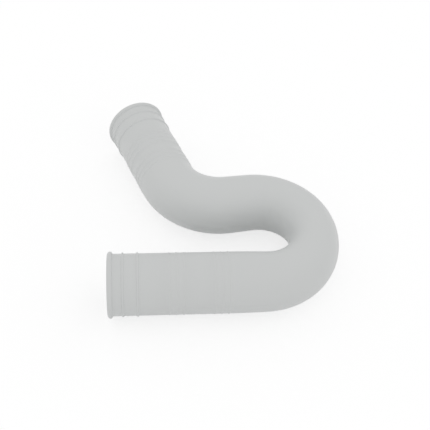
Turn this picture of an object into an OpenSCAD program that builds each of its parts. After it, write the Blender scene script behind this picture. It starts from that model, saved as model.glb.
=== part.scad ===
// Flexible sink trap, moulded in one piece from soft white PVC.
// It lies flat, as the photo shows it. The origin is the middle of the inlet's mouth.
// +X runs along the inlet leg into the pipe, +Y points to the outlet's side, and +Z is square to both bends.

/* [Pipe] */
// Outside diameter of the pipe
pipe_d = 55; // [54:0.5:60]
// Wall of the pipe past the sockets
wall = 4.2; // [3:0.1:6]

/* [Sockets] */
// Inside diameter of each socket, which slides over a 1 1/2 inch waste pipe
socket_d = 48.3; // [44:0.1:49]
// Depth of each socket, from its mouth to the stop
socket_depth = 45; // [35:1:47]
// Height of the stop, which the end of the waste pipe meets
stop_h = 0.7; // [0.5:0.1:2]
// Size of the chamfer that leads the waste pipe in
lead_in = 1; // [0.5:0.1:1.5]

/* [Lips and clamp ribs] */
// Width of the round lip at each mouth
lip_w = 4.4; // [3:0.1:6]
// Height of the lip above the pipe
lip_h = 2; // [1:0.1:2.5]
// Width of each of the two ribs that a band clamp lies between
rib_w = 2; // [1:0.1:3]
// Height of each clamp rib above the pipe
rib_h = 1; // [0.5:0.1:1.5]
// Distance from the mouth to the first clamp rib
first_rib = 13.5; // [10:0.5:15]
// Distance between the two clamp ribs, centre to centre
clamp_seat = 13; // [10:0.5:16]

/* [Fine rings] */
// Width of each fine ring
ring_w = 1.5; // [1:0.1:2]
// Height of each fine ring above the pipe
ring_h = 0.35; // [0.2:0.05:0.6]
// Distance between the rings of one group, centre to centre
ring_pitch = 6.4; // [4:0.1:8]
// Number of rings in a group
rings_in_group = 3; // [2:1:4]

/* [Inlet leg] */
// Length of the cuff, from the inlet's mouth to its first fine ring
inlet_cuff = 54.2; // [48:0.2:70]
// Plain stretch between the inlet leg's two groups of rings
inlet_plain = 27; // [8:1:50]
// Plain stretch from the last ring to the U-bend
inlet_tail = 34; // [5:1:80]

/* [Bends] */
// Radius of the U-bend, to the middle of the pipe
u_radius = 50; // [45:1:80]
// Angle that the U-bend turns through
u_angle = 187; // [170:1:200]
// Straight stretch between the two bends
link = 22; // [5:1:60]
// Radius of the elbow, to the middle of the pipe
elbow_radius = 52; // [45:1:90]
// Angle that the elbow turns back through
elbow_angle = 77; // [45:1:95]
// How far each side of the pipe is pinched in at the middle of the U-bend
pinch = 4.3; // [0:0.1:6]
// How far the pinch fades out along the pipe, each way from the middle of the U-bend
pinch_reach = 118; // [60:1:118]

/* [Outlet leg] */
// Length of the cuff, from the outlet's mouth to its first fine ring
outlet_cuff = 49.6; // [48:0.2:70]
// Plain stretch between the outlet leg's two groups of rings
outlet_plain = 13.2; // [8:0.2:40]
// Plain stretch from the last ring to the elbow
outlet_tail = 4.6; // [3:0.2:60]

/* [Hidden] */
$fn = 96;
// Sides of the bent pipe and of its bore, and the distance from one section of a bend to the next
pipe_sides = 48;
bore_sides = 32;
section_step = 6.5;

pipe_r = pipe_d / 2;
socket_r = socket_d / 2;
bend_bore_r = pipe_r - wall;
leg_bore_r = socket_r - stop_h;
// The leg's bore narrows to the bend's over this length, and past it by this much
taper_len = 6;
taper_h = 1.2;
// The bends start this far inside each leg, under its last ring
lap = ring_w / 4;

group_len = (rings_in_group - 1) * ring_pitch;
inlet_groups = [inlet_cuff, inlet_cuff + group_len + inlet_plain];
outlet_groups = [outlet_cuff, outlet_cuff + group_len + outlet_plain];
// Each leg's turned part ends at its last ring
inlet_end = inlet_groups[1] + group_len;
outlet_end = outlet_groups[1] + group_len;

// Distances along the middle of the pipe, from the inlet's mouth
u_start = inlet_end + inlet_tail;
u_end = u_start + arc_length(u_radius, u_angle);
u_middle = (u_start + u_end) / 2;
elbow_start = u_end + link;
elbow_end = elbow_start + arc_length(elbow_radius, elbow_angle);
route_end = elbow_end + outlet_tail + outlet_end;

// Places on that line, where each stretch meets the next
outlet_heading = u_angle - elbow_angle;
u_centre = [u_start, u_radius];
u_exit = u_centre + u_radius * right_of(u_angle);
elbow_entry = u_exit + link * along(u_angle);
elbow_centre = elbow_entry + elbow_radius * right_of(u_angle);
elbow_exit = elbow_centre - elbow_radius * right_of(outlet_heading);
outlet_mouth = elbow_exit + (outlet_tail + outlet_end) * along(outlet_heading);

function arc_length(radius, angle) = radius * angle * PI / 180;
function arc_angle(radius, length) = length / radius * 180 / PI;
function clamped(x, low, high) = max(low, min(high, x));
function along(heading) = [cos(heading), sin(heading)];
function right_of(heading) = [sin(heading), -cos(heading)];

// Heading of the pipe at a distance s along it: the U-bend turns left, and the elbow turns back right
function heading(s) =
    clamped(arc_angle(u_radius, s - u_start), 0, u_angle)
    - clamped(arc_angle(elbow_radius, s - elbow_start), 0, elbow_angle);

// Middle of the pipe at a distance s along it
function middle(s) =
    s < u_start ? [s, 0]
    : s < u_end ? u_centre + u_radius * right_of(heading(s))
    : s < elbow_start ? u_exit + (s - u_end) * along(u_angle)
    : s < elbow_end ? elbow_centre - elbow_radius * right_of(heading(s))
    : elbow_exit + (s - elbow_end) * along(outlet_heading);

// How far the pinch draws each side in at a distance s along the pipe
function pinched(s) = pinch * pow(cos(90 * clamped((s - u_middle) / pinch_reach, -1, 1)), 2);

// One point of the section at s: its width follows the pinch, and its height stays round
function section_point(s, r, turn) =
    let (flat = middle(s) + (r - pinched(s)) * cos(turn) * right_of(heading(s)))
    [flat[0], flat[1], r * sin(turn)];

// The bent pipe as a closed solid of radius r, from the first leg's end to the second's
module bent_solid(r, sides) {
    first = inlet_end - lap;
    last = route_end - outlet_end + lap;
    steps = ceil((last - first) / section_step);
    points = [
        for (i = [0:steps], j = [0:sides - 1])
            section_point(first + (last - first) * i / steps, r, 360 * j / sides)
    ];
    skin = [
        for (i = [0:steps - 1], j = [0:sides - 1])
            let (a = i * sides + j, b = i * sides + (j + 1) % sides)
            each [[a, b, b + sides], [a, b + sides, a + sides]]
    ];
    inlet_cap = [for (j = [sides - 1:-1:0]) j];
    outlet_cap = [for (j = [0:sides - 1]) steps * sides + j];
    polyhedron(points, concat([inlet_cap], skin, [outlet_cap]), convexity = 6);
}

// Section of a round bead that stands h above a pipe and is w wide at its foot
module bead_section(at, w, h) {
    r = (w * w / 4 + h * h) / (2 * h);
    translate([pipe_r + h - r, at]) circle(r = r);
}

// Section of a leg: the pipe's outside, the lip, the clamp ribs and two groups of fine rings
module leg_section(length, groups) {
    square([pipe_r, length]);
    bead_section(lip_setback(), lip_w, lip_h);
    bead_section(first_rib, rib_w, rib_h);
    bead_section(first_rib + clamp_seat, rib_w, rib_h);
    for (start = groups, i = [0:rings_in_group - 1])
        bead_section(start + i * ring_pitch, ring_w, ring_h);
}

// The lip's bead starts a little behind the mouth, which leaves the mouth's edge square
function lip_setback() = (lip_w * lip_w / 4 + lip_h * lip_h) / (2 * lip_h) + 0.3;

// A leg stands on its mouth, with the pipe going up from it
module leg(length, groups) {
    rotate_extrude() leg_section(length, groups);
}

// The hole in a leg: the lead-in, the socket, the stop and the bore behind it
module leg_hole(length) {
    over = 1;
    translate([0, 0, -over]) cylinder(h = over + socket_depth, r = socket_r);
    translate([0, 0, -over]) cylinder(h = over + lead_in, r1 = socket_r + lead_in + over, r2 = socket_r);
    cylinder(h = length, r = leg_bore_r);
    translate([0, 0, length]) cylinder(h = taper_len, r1 = leg_bore_r, r2 = leg_bore_r - taper_h);
}

module at_inlet() {
    rotate([0, 90, 0]) children();
}

module at_outlet() {
    translate([outlet_mouth[0], outlet_mouth[1], 0])
        rotate([0, 0, outlet_heading + 180])
            rotate([0, 90, 0]) children();
}

module trap_body() {
    color("whitesmoke")
    difference() {
        union() {
            at_inlet() leg(inlet_end, inlet_groups);
            at_outlet() leg(outlet_end, outlet_groups);
            bent_solid(pipe_r, pipe_sides);
        }
        at_inlet() leg_hole(inlet_end);
        at_outlet() leg_hole(outlet_end);
        bent_solid(bend_bore_r, bore_sides);
    }
}

trap_body();
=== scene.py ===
import math

import bpy
from mathutils import Matrix, Vector


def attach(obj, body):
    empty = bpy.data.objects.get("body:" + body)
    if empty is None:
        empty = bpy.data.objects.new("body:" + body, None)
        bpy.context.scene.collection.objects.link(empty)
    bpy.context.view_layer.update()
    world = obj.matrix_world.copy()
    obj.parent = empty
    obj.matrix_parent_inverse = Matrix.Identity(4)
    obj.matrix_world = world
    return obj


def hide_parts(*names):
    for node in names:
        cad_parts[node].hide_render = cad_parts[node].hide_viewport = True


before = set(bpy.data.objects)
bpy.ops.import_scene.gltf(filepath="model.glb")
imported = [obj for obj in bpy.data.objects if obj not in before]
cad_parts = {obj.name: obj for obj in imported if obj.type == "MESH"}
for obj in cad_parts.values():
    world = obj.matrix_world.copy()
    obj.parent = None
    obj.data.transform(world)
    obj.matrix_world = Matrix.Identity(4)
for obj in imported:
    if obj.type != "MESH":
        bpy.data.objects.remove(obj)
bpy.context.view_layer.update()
print("CAD frame loaded")

mm = 0.001
sides = 128  # points round every ring of the pipe


def along(heading):  # level direction of the pipe, from its heading in degrees
    turn = math.radians(heading)
    return Vector((math.cos(turn), math.sin(turn), 0))


def rightOf(heading):
    turn = math.radians(heading)
    return Vector((math.sin(turn), -math.cos(turn), 0))


def clamped(value, low, high):
    return max(low, min(high, value))


# The line down the middle of the pipe, in millimetres from the inlet's mouth
route = {
    "inletLeg": 106.8,  # the turned part of each leg ends at its last ring
    "inletTail": 34,
    "bendRadius": 50,
    "bendAngle": 187,
    "link": 22,
    "elbowRadius": 52,
    "elbowAngle": 77,
    "outletTail": 4.6,
    "outletLeg": 88.4,
}
bendStart = route["inletLeg"] + route["inletTail"]
bendEnd = bendStart + route["bendRadius"] * math.radians(route["bendAngle"])
bendMiddle = (bendStart + bendEnd) / 2
elbowStart = bendEnd + route["link"]
elbowEnd = elbowStart + route["elbowRadius"] * math.radians(route["elbowAngle"])
routeEnd = elbowEnd + route["outletTail"] + route["outletLeg"]
outletHeading = route["bendAngle"] - route["elbowAngle"]
bendCentre = Vector((bendStart, route["bendRadius"], 0))
bendExit = bendCentre + route["bendRadius"] * rightOf(route["bendAngle"])
elbowEntry = bendExit + route["link"] * along(route["bendAngle"])
elbowCentre = elbowEntry + route["elbowRadius"] * rightOf(route["bendAngle"])
elbowExit = elbowCentre - route["elbowRadius"] * rightOf(outletHeading)
outletMouth = elbowExit + (route["outletTail"] + route["outletLeg"]) * along(outletHeading)


def headingAt(s):
    bend = clamped(math.degrees((s - bendStart) / route["bendRadius"]), 0, route["bendAngle"])
    elbow = clamped(math.degrees((s - elbowStart) / route["elbowRadius"]), 0, route["elbowAngle"])
    return bend - elbow


def middleAt(s):
    if s < bendStart:
        return Vector((s, 0, 0))
    if s < bendEnd:
        return bendCentre + route["bendRadius"] * rightOf(headingAt(s))
    if s < elbowStart:
        return bendExit + (s - bendEnd) * along(route["bendAngle"])
    if s < elbowEnd:
        return elbowCentre - route["elbowRadius"] * rightOf(headingAt(s))
    return elbowExit + (s - elbowEnd) * along(outletHeading)


pipe = {
    "radius": 27.5,
    "boreRadius": 23.3,
    "pinch": 4.4,  # how far each side is drawn in at the middle of the U-bend
    "pinchReach": 118,
    "legOverlap": 1.2,  # a leg runs on past its last ring by this much
    "ringGap": 3.2,  # from one ring of points to the next
    "mergeGap": 0.02,
    "smoothAngle": 40,
}


def pinchedAt(s):
    fade = clamped((s - bendMiddle) / pipe["pinchReach"], -1, 1)
    return pipe["pinch"] * math.cos(math.radians(90 * fade)) ** 2


def placesAlongBends():  # ring places: evenly spaced, with one at each change of curve
    stops = [route["inletLeg"] + pipe["legOverlap"], bendStart, bendEnd, elbowStart, elbowEnd,
             routeEnd - route["outletLeg"] - pipe["legOverlap"]]
    places = [stops[0]]
    for start, stop in zip(stops, stops[1:]):
        parts = math.ceil((stop - start) / pipe["ringGap"])
        places += [start + (stop - start) * i / parts for i in range(1, parts + 1)]
    return places


def newPiece(name):
    piece = bpy.context.active_object
    piece.name = name
    piece.data.name = name
    bpy.ops.object.transform_apply(location=True, rotation=True, scale=True)
    return piece


def sweptSkin(name, radius):  # one skin of the bent pipe, ring by ring from the inlet leg to the outlet leg
    places = placesAlongBends()
    bpy.ops.object.select_all(action="DESELECT")
    bpy.ops.mesh.primitive_circle_add(
        vertices=sides, radius=radius * mm, location=middleAt(places[0]) * mm, rotation=(0, math.pi / 2, 0))
    skin = newPiece(name)
    bpy.ops.object.mode_set(mode="EDIT")
    bpy.ops.mesh.select_all(action="SELECT")
    width = radius
    for before, here in zip(places, places[1:]):
        step = (middleAt(here) - middleAt(before)) * mm
        centre = middleAt(here) * mm
        bpy.ops.mesh.extrude_edges_move(TRANSFORM_OT_translate={"value": step})
        turn = math.radians(headingAt(here) - headingAt(before))
        if turn:
            bpy.ops.transform.rotate(value=-turn, orient_axis="Z", center_override=centre)
        squeezed = radius - pinchedAt(here)
        across = rightOf(headingAt(here))
        bpy.ops.transform.resize(
            value=(squeezed / width, 1, 1), orient_type="GLOBAL", orient_matrix_type="GLOBAL",
            orient_matrix=(across, along(headingAt(here)), (0, 0, 1)), center_override=centre)
        width = squeezed
    bpy.ops.object.mode_set(mode="OBJECT")
    return skin


leg = {
    "lipWidth": 4.4,
    "lipHeight": 2,
    "lipSetback": 2.51,
    "ribWidth": 2,
    "ribHeight": 1,
    "ribPlaces": (13.5, 26.5),
    "ringWidth": 1.5,
    "ringHeight": 0.35,
    "ringPitch": 6.4,
    "ringsInGroup": 3,
    "inletGroups": (54.2, 94),
    "outletGroups": (49.6, 75.6),
    "socketRadius": 24.15,
    "socketDepth": 45,
    "stopHeight": 0.7,
    "leadIn": 1,
    "lipSteps": 12,  # points up each side of a bead
    "ribSteps": 6,
    "ringSteps": 4,
    "lipFoot": 0.1,  # soft foot on each side of a bead
    "ribFoot": 0.15,
    "ringFoot": 0.12,
    "mouthEdge": [(0.3, 27.45), (0.12, 27.36), (0, 27.15)],  # (distance from the mouth, radius)
    "edgeRound": 0.1,
    "stopRound": 0.2,
    "cornerRound": 0.15,
    "boreParts": 6,
    "mergeGap": 0.01,
}


def beadOutline(at, width, height, steps, foot):  # a round bead with a soft foot on each side
    bead = (width * width / 4 + height * height) / (2 * height)
    half = math.acos(1 - height / bead)
    points = [(at + width / 2 + foot, pipe["radius"])]
    for i in range(steps - 1, -steps, -1):
        turn = half * i / steps
        rise = pipe["radius"] + height - bead + bead * math.cos(turn)
        points.append((at + bead * math.sin(turn), rise))
    points.append((at - width / 2 - foot, pipe["radius"]))
    return points


def legOutline(length, groups):  # (distance from the mouth, radius), from the outside of the pipe to the bore
    points = [(length + pipe["legOverlap"], pipe["radius"])]
    for start in reversed(groups):
        for i in reversed(range(leg["ringsInGroup"])):
            points += beadOutline(start + i * leg["ringPitch"], leg["ringWidth"], leg["ringHeight"],
                                  leg["ringSteps"], leg["ringFoot"])
    for at in reversed(leg["ribPlaces"]):
        points += beadOutline(at, leg["ribWidth"], leg["ribHeight"], leg["ribSteps"], leg["ribFoot"])
    lip = beadOutline(leg["lipSetback"], leg["lipWidth"], leg["lipHeight"], leg["lipSteps"], leg["lipFoot"])
    points += lip[:-1] + leg["mouthEdge"]
    mouth = leg["socketRadius"] + leg["leadIn"]
    edge = leg["edgeRound"]
    points += [(0, mouth + edge), (edge / 2, mouth - edge / 2)]
    points += [(leg["leadIn"] - edge, leg["socketRadius"] + edge)]
    points += [(leg["leadIn"] + leg["stopRound"], leg["socketRadius"])]
    stop = leg["socketRadius"] - leg["stopHeight"]
    parts = leg["boreParts"]
    points += [(leg["socketDepth"] * i / parts - leg["stopRound"], leg["socketRadius"])
               for i in range(1, parts + 1)]
    points += [(leg["socketDepth"], leg["socketRadius"] - leg["cornerRound"])]
    points += [(leg["socketDepth"], stop + leg["stopRound"]), (leg["socketDepth"] + leg["stopRound"], stop)]
    behind = length - leg["socketDepth"]
    points += [(leg["socketDepth"] + behind * i / parts, stop) for i in range(1, parts)]
    points += [(length + pipe["legOverlap"], pipe["boreRadius"])]
    return points


def turnedLeg(name, mouth, inward, length, groups):  # the leg's outline, spun round its axis
    places = [(mouth + at * inward + Vector((0, 0, radius))) * mm
              for at, radius in legOutline(length, groups)]
    bpy.ops.object.select_all(action="DESELECT")
    bpy.ops.mesh.primitive_plane_add(size=mm, location=places[0])
    cuff = newPiece(name)
    bpy.ops.object.mode_set(mode="EDIT")
    bpy.ops.mesh.select_all(action="SELECT")
    bpy.ops.mesh.merge(type="CENTER")
    for before, here in zip(places, places[1:]):
        bpy.ops.mesh.extrude_vertices_move(TRANSFORM_OT_translate={"value": here - before})
    bpy.ops.mesh.select_all(action="SELECT")
    bpy.ops.mesh.spin(steps=sides, angle=2 * math.pi, center=mouth * mm, axis=inward)
    bpy.ops.mesh.select_all(action="SELECT")
    bpy.ops.mesh.remove_doubles(threshold=leg["mergeGap"] * mm)
    bpy.ops.object.mode_set(mode="OBJECT")
    return cuff


inletCuff = turnedLeg(
    "inletCuff", Vector((0, 0, 0)), Vector((1, 0, 0)), route["inletLeg"], leg["inletGroups"])
outletCuff = turnedLeg(
    "outletCuff", outletMouth, -along(outletHeading), route["outletLeg"], leg["outletGroups"])
print("legs turned")
outerSkin = sweptSkin("outerSkin", pipe["radius"])
innerSkin = sweptSkin("innerSkin", pipe["boreRadius"])
print("bends swept")

bpy.ops.object.select_all(action="DESELECT")
for part in (inletCuff, outletCuff, outerSkin, innerSkin):
    part.select_set(True)
bpy.context.view_layer.objects.active = outerSkin
bpy.ops.object.join()
trapBody = newPiece("trapBody")
bpy.ops.object.mode_set(mode="EDIT")
bpy.ops.mesh.select_all(action="SELECT")
bpy.ops.mesh.remove_doubles(threshold=pipe["mergeGap"] * mm)
bpy.ops.mesh.normals_make_consistent(inside=False)
bpy.ops.object.mode_set(mode="OBJECT")
bpy.ops.object.shade_smooth_by_angle(angle=math.radians(pipe["smoothAngle"]))
print("body joined:", len(trapBody.data.vertices), "points")

softPvc = {
    "colour": (0.80, 0.815, 0.81, 1),
    "roughness": 0.42,
}


def softPvcMaterial():
    material = bpy.data.materials.new("softPvc")
    material.use_nodes = True
    nodes, links = material.node_tree.nodes, material.node_tree.links
    shader = nodes["Principled BSDF"]
    shader.inputs["Base Color"].default_value = softPvc["colour"]
    shader.inputs["Roughness"].default_value = softPvc["roughness"]
    return material


trapBody.data.materials.clear()
trapBody.data.materials.append(softPvcMaterial())

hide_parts("trap_body")
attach(trapBody, "root")

# Table, light and camera
studio = {
    "floorLevel": -29.5,
    "floorSize": 6,
    "paperColour": (0.85, 0.85, 0.85, 1),
    "shadowColour": (0.4, 0.4, 0.4, 1),  # the part of the floor's light and shadow that the camera sees
    "paperGlow": 0.72,  # the white that is added to it there
    "worldStrength": 0.7,
}


def paperMaterial():  # plain paper that looks white and keeps the shadow
    paper = bpy.data.materials.new("paper")
    paper.use_nodes = True
    nodes, links = paper.node_tree.nodes, paper.node_tree.links
    nodes.clear()
    output = nodes.new("ShaderNodeOutputMaterial")
    lightPath = nodes.new("ShaderNodeLightPath")
    seen = nodes.new("ShaderNodeMath")
    seen.operation = "MAXIMUM"
    seenToo = nodes.new("ShaderNodeMath")
    seenToo.operation = "MAXIMUM"
    links.new(lightPath.outputs["Is Camera Ray"], seen.inputs[0])
    links.new(lightPath.outputs["Is Glossy Ray"], seen.inputs[1])
    links.new(seen.outputs[0], seenToo.inputs[0])
    links.new(lightPath.outputs["Is Transmission Ray"], seenToo.inputs[1])
    plain = nodes.new("ShaderNodeBsdfDiffuse")
    plain.inputs["Color"].default_value = studio["paperColour"]
    shadowed = nodes.new("ShaderNodeBsdfDiffuse")
    shadowed.inputs["Color"].default_value = studio["shadowColour"]
    glow = nodes.new("ShaderNodeEmission")
    glow.inputs["Strength"].default_value = studio["paperGlow"]
    both = nodes.new("ShaderNodeAddShader")
    links.new(shadowed.outputs[0], both.inputs[0])
    links.new(glow.outputs[0], both.inputs[1])
    mixed = nodes.new("ShaderNodeMixShader")
    links.new(seenToo.outputs[0], mixed.inputs[0])
    links.new(plain.outputs[0], mixed.inputs[1])
    links.new(both.outputs[0], mixed.inputs[2])
    links.new(mixed.outputs[0], output.inputs["Surface"])
    return paper


bpy.ops.object.select_all(action="DESELECT")
bpy.ops.mesh.primitive_plane_add(size=studio["floorSize"], location=(0.1, 0.1, studio["floorLevel"] * mm))
floor = newPiece("floor")
floor.data.materials.append(paperMaterial())

world = bpy.data.worlds.new("studio")
bpy.context.scene.world = world
world.use_nodes = True
world.node_tree.nodes["Background"].inputs["Color"].default_value = (1, 1, 1, 1)
world.node_tree.nodes["Background"].inputs["Strength"].default_value = studio["worldStrength"]

cameraFit = {
    "place": Vector((31.01, -503.44, 607.63)),
    "aim": Vector((100.65, 82.47, 1.31)),
    "roll": 3.955,
    "lens": 74.317,
}
bpy.ops.object.camera_add(location=cameraFit["place"] * mm)
camera = bpy.context.active_object
camera.name = "photoCamera"
back = (cameraFit["place"] - cameraFit["aim"]).normalized()
across = Vector((0, 0, 1)).cross(back).normalized()
up = back.cross(across)
roll = math.radians(cameraFit["roll"])
rightward = math.cos(roll) * across + math.sin(roll) * up
upward = back.cross(rightward)
camera.rotation_mode = "QUATERNION"
camera.rotation_quaternion = Matrix((rightward, upward, back)).transposed().to_quaternion()
camera.data.lens = cameraFit["lens"]
camera.data.clip_start = 0.01
bpy.context.scene.camera = camera
bpy.context.scene.view_settings.view_transform = "Standard"
print("stage, light and camera set")
